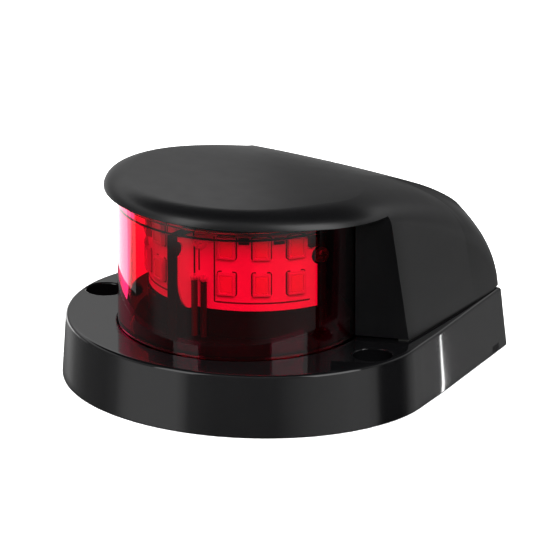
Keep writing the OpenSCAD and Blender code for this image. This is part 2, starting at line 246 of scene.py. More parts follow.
def lathe(name, profile, centre=(0, 0), steps=64, half_arc=None, y_forward=True):
    """Solid of revolution of a closed profile [(r, z)]; half_arc keeps that many degrees each side of dead ahead (-Y)."""
    verts, faces = [], []
    if half_arc is None:
        angles = [2 * math.pi * k / steps for k in range(steps)]
    else:
        lo, hi = half_arc if isinstance(half_arc, tuple) else (-half_arc, half_arc)
        angles = [math.radians(lo + (hi - lo) * k / steps - 90) for k in range(steps + 1)]
    m = len(profile)
    axis = {}
    for a in angles:
        for r, z in profile:
            verts.append((centre[0] + r * math.cos(a), centre[1] + r * math.sin(a), z))
    count = len(angles)
    last = count if half_arc is None else count - 1
    for k in range(last):
        k2 = (k + 1) % count
        for i in range(m):
            j = (i + 1) % m
            faces.append([k * m + i, k2 * m + i, k2 * m + j, k * m + j])
    if half_arc is not None:
        faces.append(list(range(m)))
        faces.append([last * m + i for i in reversed(range(m))])
    o = obj_from(name, verts, faces)
    bm = bmesh.new()
    bm.from_mesh(o.data)
    bmesh.ops.remove_doubles(bm, verts=bm.verts, dist=1e-5)
    bmesh.ops.dissolve_degenerate(bm, dist=1e-6, edges=bm.edges)
    bmesh.ops.recalc_face_normals(bm, faces=bm.faces)
    bm.to_mesh(o.data)
    bm.free()
    return o


def rod(name, r, z0, z1, at=(0, 0), steps=48, top=0.0, bottom=0.0):
    """Upright cylinder; top and bottom are small chamfers (negative flares the end outwards)."""
    ring = lambda rr, z: [(at[0] + rr * math.cos(2 * math.pi * k / steps), at[1] + rr * math.sin(2 * math.pi * k / steps), z) for k in range(steps)]
    rings = []
    if bottom:
        rings.append(ring(r - bottom, z0))
        rings.append(ring(r, z0 + abs(bottom)))
    else:
        rings.append(ring(r, z0))
    if top:
        rings.append(ring(r, z1 - abs(top)))
        rings.append(ring(r - top, z1))
    else:
        rings.append(ring(r, z1))
    return loft(name, rings)


def stack(name, levels, at=(0, 0), steps=48):
    """Upright solid through circles [(r, z)]."""
    return loft(name, [[(at[0] + r * math.cos(2 * math.pi * k / steps), at[1] + r * math.sin(2 * math.pi * k / steps), z) for k in range(steps)] for r, z in levels])


def prism(name, outline, z0, z1):
    return loft(name, [[(x, y, z0) for x, y in outline], [(x, y, z1) for x, y in outline]])


def block(name, x0, y0, z0, x1, y1, z1):
    return prism(name, [(x0, y0), (x1, y0), (x1, y1), (x0, y1)], z0, z1)


def combine(o, tools, op="DIFFERENCE"):
    """Applies booleans to o one by one and removes the tools."""
    for c in tools:
        done = False
        for solver in ("MANIFOLD", "EXACT"):
            mod = o.modifiers.new("cut", "BOOLEAN")
            mod.operation = op
            mod.object = c
            try:
                mod.solver = solver
            except TypeError:
                o.modifiers.remove(mod)
                continue
            me = bpy.data.meshes.new_from_object(o.evaluated_get(bpy.context.evaluated_depsgraph_get()))
            o.modifiers.clear()
            if len(me.polygons) > 3:
                o.data = me
                done = True
                break
        if not done:
            raise RuntimeError("boolean failed on " + o.name)
    for c in tools:
        bpy.data.objects.remove(c, do_unlink=True)
    return o


def joined(name, objs):
    """One object from several, in place."""
    bm = bmesh.new()
    for o in objs:
        me = o.data.copy()
        me.transform(o.matrix_world)
        bm.from_mesh(me)
    me = bpy.data.meshes.new(name)
    bm.to_mesh(me)
    bm.free()
    new = bpy.data.objects.new(name, me)
    scene.collection.objects.link(new)
    for o in objs:
        bpy.data.objects.remove(o, do_unlink=True)
    return new


def settle(o, angle=32, weighted=True, scale=MM):
    """Scales a piece from mm to metres and shades it smooth below the angle."""
    me = o.data
    if scale != 1:
        me.transform(Matrix.Scale(scale, 4))
    bm = bmesh.new()
    bm.from_mesh(me)
    bmesh.ops.remove_doubles(bm, verts=bm.verts, dist=2e-6)
    bmesh.ops.dissolve_degenerate(bm, dist=1e-6, edges=bm.edges)
    bm.to_mesh(me)
    bm.free()
    me.shade_smooth()
    me.set_sharp_from_angle(angle=math.radians(angle))
    if weighted:
        mod = o.modifiers.new("weighted", "WEIGHTED_NORMAL")
        mod.keep_sharp = True
        mod.weight = 60
    me.update()
    return o


def sector_poly(d, far=90):
    s, c = math.sin(CUT), math.cos(CUT)
    return [(0, Y0 + d / c), (-80 * c + d * s, Y0 + 80 * s + d * c), (-far, -far), (far, -far), (80 * c - d * s, Y0 + 80 * s + d * c)]


def on_board(side, ang, z):
    """Placement on the face of a board, -Y outwards."""
    return Matrix.Translation((0, BOARD_Y, z)) @ Matrix.Rotation(side * math.radians(ang), 4, "Z") @ Matrix.Translation((0, -BOARD_R, 0))


# ------------------------------------------------------------------ materials
def new_mat(name):
    m = bpy.data.materials.new(name)
    m.use_nodes = True
    nt = m.node_tree
    for n in list(nt.nodes):
        nt.nodes.remove(n)
    out = nt.nodes.new("ShaderNodeOutputMaterial")
    p = nt.nodes.new("ShaderNodeBsdfPrincipled")
    nt.links.new(p.outputs[0], out.inputs[0])
    return m, nt, p, out


def noise(nt, scale, detail=3.0, rough=0.55, stretch=None):
    tc = nt.nodes.new("ShaderNodeTexCoord")
    mp = nt.nodes.new("ShaderNodeMapping")
    if stretch:
        mp.inputs["Scale"].default_value = stretch
    nz = nt.nodes.new("ShaderNodeTexNoise")
    nz.inputs["Scale"].default_value = scale
    nz.inputs["Detail"].default_value = detail
    nz.inputs["Roughness"].default_value = rough
    nt.links.new(tc.outputs["Object"], mp.inputs[0])
    nt.links.new(mp.outputs[0], nz.inputs["Vector"])
    return nz.outputs[0]


def span(nt, value, lo, hi, frm=0.3, to=0.7):
    r = nt.nodes.new("ShaderNodeMapRange")
    r.inputs["From Min"].default_value = frm
    r.inputs["From Max"].default_value = to
    r.inputs["To Min"].default_value = lo
    r.inputs["To Max"].default_value = hi
    nt.links.new(value, r.inputs["Value"])
    return r.outputs[0]


def between(nt, fac, a, b):
    mx = nt.nodes.new("ShaderNodeMix")
    mx.data_type = "RGBA"
    mx.inputs[6].default_value = (*a, 1)
    mx.inputs[7].default_value = (*b, 1)
    nt.links.new(fac, mx.inputs[0])
    return mx.outputs[2]


def bump(nt, height, strength, distance, normal=None):
    b = nt.nodes.new("ShaderNodeBump")
    b.inputs["Strength"].default_value = strength
    b.inputs["Distance"].default_value = distance
    nt.links.new(height, b.inputs["Height"])
    if normal is not None:
        nt.links.new(normal, b.inputs["Normal"])
    return b.outputs[0]


def worn(nt, amount):
    """Where edges are, from the mesh's pointiness, 0 to 1 times amount."""
    g = nt.nodes.new("ShaderNodeNewGeometry")
    return span(nt, g.outputs["Pointiness"], 0.0, amount, 0.52, 0.62)


def plastic(name, dark, light, rough, spec=0.5, ior=1.5, grain=900.0, grain_depth=0.00001, wave=40.0, wave_depth=0.0, edge=0.0, coat=0.0):
    m, nt, p, _ = new_mat(name)
    big = noise(nt, 55.0, 3.0)
    fine = noise(nt, grain, 2.0, 0.6)
    col = between(nt, span(nt, big, 0.0, 1.0), dark, light)
    if edge:
        mx = nt.nodes.new("ShaderNodeMix")
        mx.data_type = "RGBA"
        mx.inputs[7].default_value = tuple(min(1, c * 4 + 0.004) for c in light) + (1,)
        nt.links.new(worn(nt, edge), mx.inputs[0])
        nt.links.new(col, mx.inputs[6])
        col = mx.outputs[2]
    nt.links.new(col, p.inputs["Base Color"])
    mid = noise(nt, 260.0, 4.0)
    nt.links.new(span(nt, mid, rough * 0.95, rough * 1.06), p.inputs["Roughness"])
    n = bump(nt, fine, 0.5, grain_depth)
    if wave_depth:
        n = bump(nt, noise(nt, wave, 1.0), 0.6, wave_depth, n)
    nt.links.new(n, p.inputs["Normal"])
    p.inputs["IOR"].default_value = ior
    p.inputs["Specular IOR Level"].default_value = spec
    if coat:
        p.inputs["Coat Weight"].default_value = coat
        p.inputs["Coat Roughness"].default_value = 0.05
    return m


def metal(name, colour, rough, amount=1.0):
    m, nt, p, _ = new_mat(name)
    nt.links.new(between(nt, span(nt, noise(nt, 420.0, 4.0), 0, 1), tuple(c * 0.8 for c in colour), colour), p.inputs["Base Color"])
    nt.links.new(span(nt, noise(nt, 900.0, 4.0, 0.6, (1, 1, 0.15)), rough * 0.75, rough * 1.4), p.inputs["Roughness"])
    nt.links.new(bump(nt, noise(nt, 1500.0, 2.0), 0.4, 0.000008), p.inputs["Normal"])
    p.inputs["Metallic"].default_value = amount
    return m


def lens_material():
    m, nt, p, out = new_mat("lens_red")
    red = (0.87, 0.016, 0.11)
    nt.links.new(between(nt, span(nt, noise(nt, 30.0, 2.0), 0, 1), (0.855, 0.0145, 0.103), red), p.inputs["Base Color"])
    nt.links.new(span(nt, noise(nt, 180.0, 3.0), 0.012, 0.028), p.inputs["Roughness"])
    nt.links.new(bump(nt, noise(nt, 60.0, 1.0), 0.25, 0.00001), p.inputs["Normal"])
    p.inputs["Transmission Weight"].default_value = 1.0
    p.inputs["IOR"].default_value = 1.5
    lp = nt.nodes.new("ShaderNodeLightPath")
    tr = nt.nodes.new("ShaderNodeBsdfTransparent")
    tr.inputs[0].default_value = (0.94, 0.17, 0.43, 1)
    mx = nt.nodes.new("ShaderNodeMixShader")
    nt.links.new(lp.outputs["Is Shadow Ray"], mx.inputs[0])
    nt.links.new(p.outputs[0], mx.inputs[1])
    nt.links.new(tr.outputs[0], mx.inputs[2])
    nt.links.new(mx.outputs[0], out.inputs[0])
    return m


MAT = {
    "base_black": plastic("base_black", (0.0012, 0.0012, 0.0014), (0.002, 0.002, 0.0022), 0.07, spec=0.5, ior=1.5, grain=1400.0, grain_depth=0.0000012, wave=28.0, wave_depth=0.00002, edge=0.15),
    "cover_black": plastic("cover_black", (0.0012, 0.0012, 0.0014), (0.0017, 0.0017, 0.0019), 0.31, spec=0.5, ior=1.5, grain=3200.0, grain_depth=0.000006, edge=0.05),
    "carrier_black": plastic("carrier_black", (0.003, 0.003, 0.003), (0.006, 0.006, 0.006), 0.5, spec=0.12, grain=1500.0, grain_depth=0.000006),
    "rubber_black": plastic("rubber_black", (0.008, 0.008, 0.008), (0.014, 0.014, 0.013), 0.7, spec=0.35, grain=1100.0, grain_depth=0.00002),
    "lens_red": lens_material(),
    "reflector_white": plastic("reflector_white", (0.80, 0.80, 0.78), (0.88, 0.88, 0.86), 0.35, grain=1400.0, grain_depth=0.000004),
    "board_white": plastic("board_white", (0.84, 0.84, 0.82), (0.92, 0.92, 0.90), 0.4, grain=700.0, grain_depth=0.000008),
    # dark colour for the printed border lines, also used as painted shade in the gaps round the light packages
    "ink_and_gap_shade": plastic("ink_and_gap_shade", (0.05, 0.045, 0.045), (0.09, 0.08, 0.08), 0.5, grain=1800.0, grain_depth=0.000004),
    "led_package": plastic("led_package", (0.74, 0.73, 0.68), (0.82, 0.81, 0.76), 0.35, grain=2400.0, grain_depth=0.000004),
    "emitter": plastic("emitter", (0.82, 0.74, 0.5), (0.9, 0.82, 0.58), 0.25, grain=2600.0, grain_depth=0.000006, coat=0.5),
    "chip_black": plastic("chip_black", (0.012, 0.012, 0.013), (0.02, 0.02, 0.022), 0.4, grain=3000.0, grain_depth=0.000006),
    "screw_black": plastic("screw_black", (0.012, 0.011, 0.011), (0.025, 0.023, 0.022), 0.3, spec=0.8, grain=1800.0, grain_depth=0.000005),
    "screw_steel": metal("screw_steel", (0.62, 0.61, 0.59), 0.3),
    "lead_positive": plastic("lead_positive", (0.03, 0.016, 0.015), (0.045, 0.024, 0.022), 0.42, grain=1200.0, grain_depth=0.000008),
    "lead_negative": plastic("lead_negative", (0.012, 0.012, 0.012), (0.02, 0.02, 0.02), 0.42, grain=1200.0, grain_depth=0.000008),
    "solder": metal("solder", (0.85, 0.85, 0.86), 0.3, 0.45),
    "potting": plastic("potting", (0.010, 0.010, 0.011), (0.018, 0.018, 0.018), 0.3, grain=500.0, grain_depth=0.00003, wave=120.0, wave_depth=0.0001),
}
SLOT = {
    "base_housing": "base_black", "base_seal_cord": "rubber_black", "cover": "cover_black", "cover_gasket": "rubber_black",
    "lens": "lens_red", "lens_bottom_seal": "rubber_black", "lens_top_seal": "rubber_black", "led_carrier": "carrier_black",
    "divider_reflectors": "reflector_white", "port_led_board": "board_white", "starboard_led_board": "board_white",
    "port_led_packages": "led_package", "starboard_led_packages": "led_package", "port_emitter_windows": "emitter",
    "starboard_emitter_windows": "emitter", "port_resistors": "chip_black", "starboard_resistors": "chip_black",
    "polarity_diodes": "chip_black", "board_screws": "screw_black", "carrier_screws": "screw_steel", "positive_leads": "lead_positive",
    "negative_leads": "lead_negative", "solder_joints": "solder", "potting_plug": "potting", "wire_grommet": "rubber_black", "cover_screws": "screw_steel",
}


def finish_piece(o, slot, *nodes):
    """Gives a new piece its material and its slot, hangs it under the root, and hides the CAD nodes it stands for."""
    o.data.materials.clear()
    o.data.materials.append(MAT[slot])
    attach(o, "root")
    if nodes:
        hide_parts(*nodes)
    return o


# ------------------------------------------------------------------ base housing
def make_base():
    g_at = lambda z: DRAFT - 0.72 * z / 11.75
    rings = [base_ring(g_at(0) - 0.16, 0.0), base_ring(g_at(0.06) - 0.05, 0.05), base_ring(g_at(0.2) - 0.001, 0.2)]
    rings += [base_ring(g_at(z) - 0.001, z) for z in (2, 4, 6, 8, 10, 11.1)]
    for k in range(0, 10):
        a = math.pi / 2 * k / 9
        rings.append(base_ring(g_at(11.5) - 0.7 + 0.7 * math.cos(a), 11.5 + 0.7 * math.sin(a)))
    for g in (-1.2, -2.4, -4, -7, -11, -16):
        rings.append(base_ring(g, BASE_H))
    o = loft("base_housing_fine", rings)
    hollow = prism("t", [(x, y) for x, y, _ in base_ring(-4.1, 0)], -1, BASE_H - 2.4)
    combine(o, [hollow])
    adds = [rod("t", 25.6, 8.4, 11.4, (0, LENS_Y), 120)]
    for s in (-1, 1):
        sl = rod("t", 5.6, 0.0, BASE_H - 1, (s * MOUNT[0], MOUNT[1]), 64, bottom=0.25)
        combine(sl, [prism("t", [(x, y) for x, y, _ in base_ring(-0.9, 0)], -2, 20)], "INTERSECT")
        adds.append(sl)
    for p in SCREWS:
        adds.append(rod("t", 4.4, 2, BASE_H - 1, p, 64, bottom=0.3))
    for p in CARRIER:
        adds.append(rod("t", 2.8, 4, 10.5, p, 48, bottom=0.3))
    adds.append(rod("t", 7.4, 1, 10.6, OUTLET, 72, bottom=0.35))
    for s in (-1, 1):
        adds.append(block("t", s * 13.2 - 0.9, 5, 3, s * 13.2 + 0.9, 32, 11))
        adds.append(block("t", s * 11.5 - 0.9, -28, 3, s * 11.5 + 0.9, -8, 11))
    adds.append(block("t", -12.6, 18.1, 3, 12.6, 19.9, 11))
    combine(o, adds, "UNION")
    cuts = [
        lathe("t", [(21.4, 11), (24.0, 11), (24.0, 11.95), (24.03, 12.06), (24.11, 12.15), (24.27, 12.21), (25.2, 12.5), (25.2, 16.2), (21.4, 16.2)], (0, LENS_Y), 192),
        rod("t", 20.9, 11, 16, (0, LENS_Y), 160),
    ]
    for s in (-1, 1):
        at = (s * MOUNT[0], MOUNT[1])
        cuts.append(rod("t", 2.2, -1, 14, at, 48))
        cuts.append(stack("t", [(3.7, 7.6), (3.7, 11.85), (3.73, 11.98), (3.81, 12.09), (3.95, 12.17), (4.3, 12.26), (6, 13.0)], at, 64))
        cuts.append(stack("t", [(3.2, -0.5), (2.7, 0.0), (2.2, 0.5), (2.0, 0.7)], at, 48))
    for p in SCREWS:
        cuts.append(rod("t", 1.7, -1, 14, p, 40))
        cuts.append(stack("t", [(3.9, -1), (3.9, 1.8), (3.4, 2.35), (3.4, 6.5)], p, 56))
    for p in CARRIER:
        cuts.append(rod("t", 1.1, 5.5, 15, p, 32))
    cuts.append(rod("t", 4.6, 0.1, 14, OUTLET, 64))
    cuts.append(stack("t", [(6.5, 0), (6.2, 1.0), (5.9, 1.35), (5.9, 4.4)], OUTLET, 72))
    combine(o, cuts)
    groove = prism("t", [(x, y) for x, y, _ in base_ring(-0.95, 0)], -1, 1.4)
    combine(groove, [prism("t2", [(x, y) for x, y, _ in base_ring(-2.75, 0)], -2, 3)])
    combine(o, [groove])
    settle(o, 30)
    return finish_piece(o, "base_black", "base_housing")


# ------------------------------------------------------------------ cover
def make_cover():
    ts = cover_angles(1.0, 0.4)
    cols = [column(t) for t in ts]
    m = len(cols[0])
    rings = [[c[k] for c in cols] for k in range(m)]
    # round the visor's lower edge over inwards, and let the wall under it fall back; the cut below takes the rest
    R = 0.45
    for i, t in enumerate(ts):
        deg = math.degrees(t)
        away = abs(((deg + 90 + 180) % 360) - 180)
        w = 1 - smooth((away - 72) / 9)
        if w <= 0:
            continue
        u, v = math.cos(t), math.sin(t)
        r0, L = cover_r(t), lean_at(v)
        # heights of the eight wall points and the first of the turn, re-spaced about the visor plane
        yv = COVER_C + (r0 - L * 25) * v
        zp = visor_plane(yv)
        top_wall = rings[8][i][2]
        start = min(zp + R, top_wall + 0.0)
        for k in range(0, 8):
            if k == 0:
                continue
        # below the plane the wall steps in by R
        for k in range(0, 8):
            x, y, z = rings[k][i]
            base_pt = np.array([x, y, z])
            f = k / 7
            ang = math.pi / 2 * f
            znew = zp - 0.02 + (start - zp) * math.sin(ang) if k > 1 else (BASE_H + 0.5 if k == 0 else zp - 1.0)
            back = R * (1 - math.cos(math.pi / 2 * (1 - f))) if k > 1 else R * 1.6
            rr = r0 - L * (znew - BASE_H) - back
            new = np.array([rr * u, COVER_C + rr * v, znew])
            p = base_pt * (1 - w) + new * w
            rings[k][i] = tuple(p)
    o = loft("cover_fine", rings, (0, COVER_C, top_z(0, COVER_C)))

    # the space round the lens
    space = prism("space", sector_poly(0), -50, 80)
    # trim the prism to the visor plane
    lid = loft("lid", [[(-90, -90, visor_plane(-90)), (90, -90, visor_plane(-90)), (90, 60, visor_plane(60)), (-90, 60, visor_plane(60))], [(-90, -90, 90), (90, -90, 90), (90, 60, 90), (-90, 60, 90)]])
    combine(space, [lid])
    combine(o, [space])
    cuts = [rod("t", 24.0, 0, 35.6, (0, LENS_Y), 200)]
    cuts.append(lathe("t", [(21.0, 33), (23.9, 33), (23.9, 39.3), (21.0, 39.3)], (0, LENS_Y), 228, half_arc=114))
    combine(o, cuts)
    ti = cover_angles(3.0, 1.5)
    coli = [column(t, inner=COVER_WALL) for t in ti]
    ringi = [[c[k] for c in coli] for k in range(len(coli[0]))]
    tipi = (0, COVER_C, top_z(0, COVER_C) - COVER_WALL)
    hood = loft("hood", ringi, tipi)
    keep = [prism("t", sector_poly(COVER_WALL), -50, 50), rod("t", 26.2, 0, 80, (0, LENS_Y), 160)]
    keep += [rod("t", 3.6, 0, 60, p, 48) for p in SCREWS]
    keep += [block("t", s * 9 - 0.8, 18, 22, s * 9 + 0.8, 48, 62) for s in (-1, 0, 1)]
    combine(hood, keep)
    visor = loft("visor", ringi, tipi)
    combine(visor, [rod("t", 21.4, 0, 80, (0, LENS_Y), 160)], "INTERSECT")
    combine(o, [hood, visor] + [rod("t", 1.5, 0, 24, p, 40) for p in SCREWS])
    settle(o, 30)
    return finish_piece(o, "cover_black", "cover")


# ------------------------------------------------------------------ lens
def make_lens():
    r1, r2 = LENS_R - LENS_T, LENS_R
    c = 0.22
    prof = [
        (r1 + c, LENS_Z0), (r2 - c, LENS_Z0), (r2 - 0.06, LENS_Z0 + 0.08), (r2, LENS_Z0 + c),
        (r2, 18), (r2, 25), (r2, 32), (r2, LENS_Z1 - c), (r2 - 0.06, LENS_Z1 - 0.08), (r2 - c, LENS_Z1), (r1 + c, LENS_Z1), (r1, LENS_Z1 - c),
        (r1, 37.1), (r1 - 0.12, 36.9), (r1 - 0.7, 36.9), (r1 - 0.9, 36.7), (r1 - 0.9, 35.6), (r1 - 0.7, 35.4), (r1 - 0.12, 35.4), (r1, 35.2),
        (r1, 30), (r1, 24), (r1, 17), (r1, LENS_Z0 + c),
    ]
    o = lathe("lens_shell", prof, (0, LENS_Y), 226, half_arc=LENS_ARC)
    settle(o, 35)
    return finish_piece(o, "lens_red", "lens")


# ------------------------------------------------------------------ light engine
def rounded_rect(w, h, r, steps=5):
    pts = []
    for cx, cz, a0 in ((w / 2 - r, h / 2 - r, 0), (-w / 2 + r, h / 2 - r, 90), (-w / 2 + r, -h / 2 + r, 180), (w / 2 - r, -h / 2 + r, 270)):
        for k in range(steps + 1):
            a = math.radians(a0 + 90 * k / steps)
            pts.append((cx + r * math.cos(a), cz + r * math.sin(a)))
    return pts


def slab(name, outline, levels):
    """Solid facing -Y from an outline in X and Z; levels are (shrink, y), back first."""
    rings = []
    for d, y in levels:
        cx = sum(p[0] for p in outline) / len(outline)
        cz = sum(p[1] for p in outline) / len(outline)
        w = max(abs(p[0] - cx) for p in outline)
        h = max(abs(p[1] - cz) for p in outline)
        rings.append([(cx + (p[0] - cx) * (w - d) / w, y, cz + (p[1] - cz) * (h - d) / h) for p in outline])
    return loft(name, rings)


def make_board(side, node):
    lo, hi = (4, 70.5) if side > 0 else (-70.5, -4)
    r1, r2 = BOARD_R - 1, BOARD_R
    c = 0.08
    prof = [(r1, BZ0), (r2 - c, BZ0), (r2, BZ0 + c), (r2, 22), (r2, 26), (r2, 30), (r2, BZ1 - c), (r2 - c, BZ1), (r1, BZ1)]
    o = lathe(node + "_fine", prof, (0, BOARD_Y), 90, half_arc=(lo, hi))
    tools = []
    for ang, z, r in ((72.5, 30.1, 1.9), (7.2, 33.2, 0.9)):
        t = rod("t", r, -3, 3, (0, 0), 40)
        t.data.transform(on_board(side, ang, z) @ Matrix.Rotation(math.radians(90), 4, "X"))
        tools.append(t)
    combine(o, tools)
    settle(o, 30)
    return finish_piece(o, "board_white", node)


def make_leds(side, packages, windows):
    bodies, panes = [], []
    for k in (-1, 0, 1):
        for z in (LED_HI, LED_LO):
            m = on_board(side, LED_MID + k * LED_PITCH, z)
            body = slab("b", rounded_rect(3.38, 4.48, 0.22), [(0.0, 0.0), (0.0, -0.62), (0.05, -0.84), (0.14, -0.895)])
            well = slab("w", rounded_rect(2.62, 3.72, 0.3), [(0.22, -0.58), (0.1, -0.75), (0.0, -1.2)])
            combine(body, [well])
            notch = prism("n", [(-1.75, -1.4), (-1.2, -1.4), (-1.75, -0.5)], 1.7, 2.4)
            combine(body, [notch])
            body.data.transform(m)
            pane = slab("p", rounded_rect(2.26, 3.36, 0.22), [(0.0, -0.585), (0.0, -0.72), (0.08, -0.79), (0.3, -0.82)])
            pane.data.transform(m)
            bodies.append(body)
            panes.append(pane)
    b = joined(packages + "_fine", bodies)
    settle(b, 30, weighted=False)
    finish_piece(b, "led_package", packages)
    p = joined(windows + "_fine", panes)
    settle(p, 30, weighted=False)
    finish_piece(p, "emitter", windows)


def make_print_and_gap_shade(side, name):
    """Dark lines on a board: a frame round each light, which is painted shade for the shadowed gap between package and
    board, and a printed border line.
    """
    w, t = 0.31, 0.018
    verts, faces = [], []

    def put(path, closed):
        """A thin raised line along [(angle, z)] on the board's face."""
        pts = [np.array([a * math.pi / 180 * BOARD_R, z]) for a, z in path]
        n = len(pts)
        start = len(verts)
        for i, p in enumerate(pts):
            a = pts[(i - 1) % n] if (closed or i > 0) else p
            b = pts[(i + 1) % n] if (closed or i < n - 1) else p
            d = (b - a) / max(np.linalg.norm(b - a), 1e-9)
            m = np.array([-d[1], d[0]])
            for off in (-w / 2, w / 2):
                q = p + m * off
                for lift_by in (-0.01, t):
                    ang = side * q[0] / BOARD_R
                    rr = BOARD_R + lift_by
                    verts.append((rr * math.sin(ang), BOARD_Y - rr * math.cos(ang), q[1]))
        last = n if closed else n - 1
        for i in range(last):
            j = (i + 1) % n
            a0, b0 = start + 4 * i, start + 4 * j
            for p, q in ((0, 1), (1, 3), (3, 2), (2, 0)):
                faces.append([a0 + p, a0 + q, b0 + q, b0 + p])
        if not closed:
            for i in (0, n - 1):
                a0 = start + 4 * i
                faces.append([a0, a0 + 1, a0 + 3, a0 + 2])

    deg = 180 / math.pi / BOARD_R
    # painted shade: a dark raised frame round each light package stands for the shadowed gap between package and board
    for k in (-1, 0, 1):
        for z in (LED_HI, LED_LO):
            mid = LED_MID + k * LED_PITCH
            put([(mid + x * deg, z + h) for x, h in rounded_rect(3.55, 4.66, 0.45)], True)
    put([(15.2, 34.6 - (34.6 - 21.6) * q / 12) for q in range(13)] + [(15.2 + (66 - 15.2) * q / 40, 21.6) for q in range(1, 41)], False)
    put([(6.4, 27.4 + (31.6 - 27.4) * q / 6) for q in range(7)], False)
    o = obj_from(name, verts, faces)
    settle(o, 40, weighted=False)
    o.data.materials.clear()
    o.data.materials.append(MAT["ink_and_gap_shade"])
    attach(o, "root")
    return o


def lead_y(x):
    return BOARD_Y - math.sqrt(BOARD_R**2 - x * x) - 0.72


def make_leads(k, off, node, slot):
    x0 = (1.75, 3.7)[k]
    parts = []
    for s in (-1, 1):
        y = lead_y(x0)
        oy = OUTLET[1] + (0.9 if k == 0 else -0.9)
        pts = [Vector((s * x0, y, 25.4)), Vector((s * x0, y, 12.3)), Vector((s * off, oy, 12.3)), Vector((s * off, oy, 10.0))]
        path = [pts[0]]
        for i in (1, 2):
            a = pts[i] - (pts[i] - pts[i - 1]).normalized() * 1.1
            b = pts[i] + (pts[i + 1] - pts[i]).normalized() * 1.1
            path += [(1 - q) ** 2 * a + 2 * q * (1 - q) * pts[i] + q * q * b for q in [j / 10 for j in range(11)]]
        path.append(pts[3])
        rings = []
        n = len(path)
        for i, p in enumerate(path):
            t = (path[min(i + 1, n - 1)] - path[max(i - 1, 0)]).normalized()
            u = t.cross(Vector((1, 0, 0))).normalized()
            w = u.cross(t)
            rings.append([tuple(p + 0.6 * (math.cos(2 * math.pi * j / 20) * w + math.sin(2 * math.pi * j / 20) * u)) for j in range(20)])
        parts.append(loft("lead", rings))
    o = joined(node + "_fine", parts)
    settle(o, 40, weighted=False)
    return finish_piece(o, slot, node)


def make_board_screws():
    parts = []
    for s in (-1, 1):
        for ang, z in ((72.5, 30.1), (7.2, 33.2)):
            m = on_board(s, ang, z) @ Matrix.Rotation(math.radians(90), 4, "X")
            head = stack("h", [(0.8, -2.6), (0.8, 0.03), (1.5, 0.03), (1.5, 0.3), (1.42, 0.55), (1.2, 0.77), (0.9, 0.88), (0.5, 0.915)], (0, 0), 48)
            cross = [block("c", -0.85, -0.17, 0.45, 0.85, 0.17, 2), block("c", -0.17, -0.85, 0.45, 0.17, 0.85, 2)]
            combine(head, cross)
            head.data.transform(m)
            parts.append(head)
    o = joined("board_screws_fine", parts)
    settle(o, 30, weighted=False)
    finish_piece(o, "screw_black", "board_screws")
    o.data.materials.append(MAT["reflector_white"])
    for f in o.data.polygons:
        if abs(f.center.x) < 0.008:
            f.material_index = 1
    return o


make_base()
make_cover()
make_lens()
make_board(1, "port_led_board")
make_board(-1, "starboard_led_board")
make_print_and_gap_shade(1, "port_board_print_and_gap_shade")
make_print_and_gap_shade(-1, "starboard_board_print_and_gap_shade")
make_leds(1, "port_led_packages", "port_emitter_windows")
make_leds(-1, "starboard_led_packages", "starboard_emitter_windows")
make_leads(0, 0.8, "positive_leads", "lead_positive")
make_leads(1, 2.4, "negative_leads", "lead_negative")
make_board_screws()

for name, slot in SLOT.items():
    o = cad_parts.get(name)
    if o is not None and not o.hide_render:
        if not o.data.materials:
            o.data.materials.append(MAT[slot])
        for i in range(len(o.material_slots)):
            o.material_slots[i].link = "OBJECT"
            o.material_slots[i].material = MAT[slot]

# ------------------------------------------------------------------ camera
AZ, EL, DIST = math.radians(36.36), math.radians(19.076), 1.53
target = Vector((0.000597, 0.002252, 0.01836))
cam = bpy.data.cameras.new("camera")
cam.sensor_width = 36
cam.lens = 520.8
cam.clip_start, cam.clip_end = 0.1, 20
camera = bpy.data.objects.new("camera", cam)
camera.location = target + DIST * Vector((math.sin(AZ) * math.cos(EL), -math.cos(AZ) * math.cos(EL), math.sin(EL)))
camera.rotation_euler = (target - camera.location).to_track_quat("-Z", "Y").to_euler()
scene.collection.objects.link(camera)
scene.camera = camera

# ------------------------------------------------------------------ studio
floor_me = bpy.data.meshes.new("floor")
floor_me.from_pydata([(-4, -4, -0.0001), (4, -4, -0.0001), (4, 4, -0.0001), (-4, 4, -0.0001)], [], [[0, 1, 2, 3]])
floor = bpy.data.objects.new("floor", floor_me)
scene.collection.objects.link(floor)
fm, fnt, fp, _ = new_mat("floor")
fp.inputs["Base Color"].default_value = (0.9, 0.9, 0.9, 1)
fp.inputs["Roughness"].default_value = 0.9
fp.inputs["Specular IOR Level"].default_value = 0.0
floor_me.materials.append(fm)
floor.visible_glossy = False
floor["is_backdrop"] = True


def light(name, az, el, dist, w, h, power, glossy=True, diffuse=True, colour=(1, 1, 1), aim=(0, 0, 0.02)):
    """Area light seen from the object at this azimuth (from the bow, towards port) and elevation, in degrees."""
    a, e = math.radians(az), math.radians(el)
    d = Vector((math.sin(a) * math.cos(e), -math.cos(a) * math.cos(e), math.sin(e)))
    L = bpy.data.lights.new(name, "AREA")
    L.shape = "RECTANGLE"
    L.size, L.size_y = w, h
    L.energy = power
    L.color = colour
    o = bpy.data.objects.new(name, L)
    o.location = Vector(aim) + d * dist
    o.rotation_euler = (Vector(aim) - o.location).to_track_quat("-Z", "Y").to_euler()
    o.visible_camera = False
    o.visible_glossy = glossy
    o.visible_transmission = glossy
    o.visible_diffuse = diffuse
    scene.collection.objects.link(o)
    return o


# fills the floor and the light engine, without showing in the gloss
light("fill_top", 0, 88, 1.6, 1.8, 1.8, 66, glossy=False)
light("fill_front", 46, 34, 1.4, 0.7, 0.5, 30, glossy=False)
light("fill_left", -60, 24, 1.4, 0.5, 0.4, 12, glossy=False)

